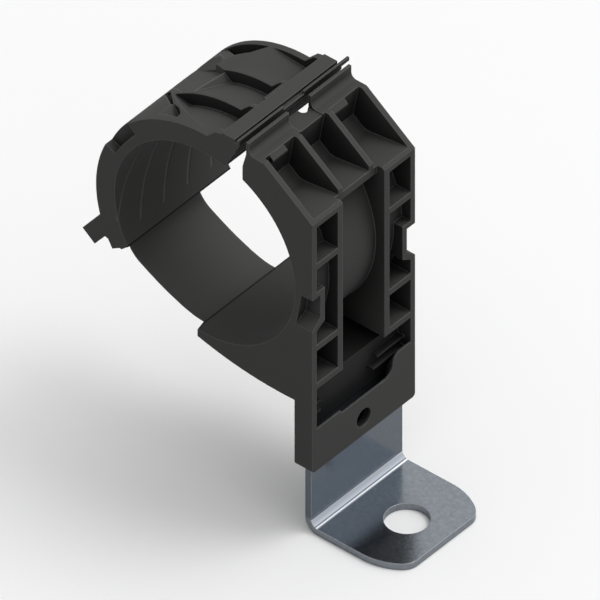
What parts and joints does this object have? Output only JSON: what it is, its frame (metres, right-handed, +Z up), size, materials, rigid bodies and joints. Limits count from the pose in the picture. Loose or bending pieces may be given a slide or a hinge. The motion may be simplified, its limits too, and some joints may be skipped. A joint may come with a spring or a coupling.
{
  "type": "pipe and cable clip",
  "caption": "Hinged moulded clip that closes round a pipe or cable bundle, on a bent steel foot with a bolt hole.",
  "frame": {"origin": "centre of the foot's bolt hole, on the underside of the foot", "axes": "+X out along the foot, away from the pipe; +Y along the pipe; +Z up out of the bolt hole"},
  "size_m": [0.0719, 0.0303, 0.0838],
  "materials": {
    "black_moulding": "fine moulded texture, slightly satin",
    "zinc_steel": "zinc-plated, mottled bright grey"
  },
  "bodies": {
    "cradle": {"clip_cradle": "black_moulding", "steel_bracket": "zinc_steel", "hinge_strap": "black_moulding"},
    "jaw": {"upper_jaw": "black_moulding"}
  },
  "joints": [
    {"name": "jaw_hinge", "type": "hinge", "parent": "cradle", "child": "jaw", "pos_m": [-0.0489, 0, 0.036], "axis": [0, -1, 0], "range_deg": [0, 80], "stiffness_Nm_per_rad": 0.15, "deforming": ["hinge_strap"]}
  ]
}
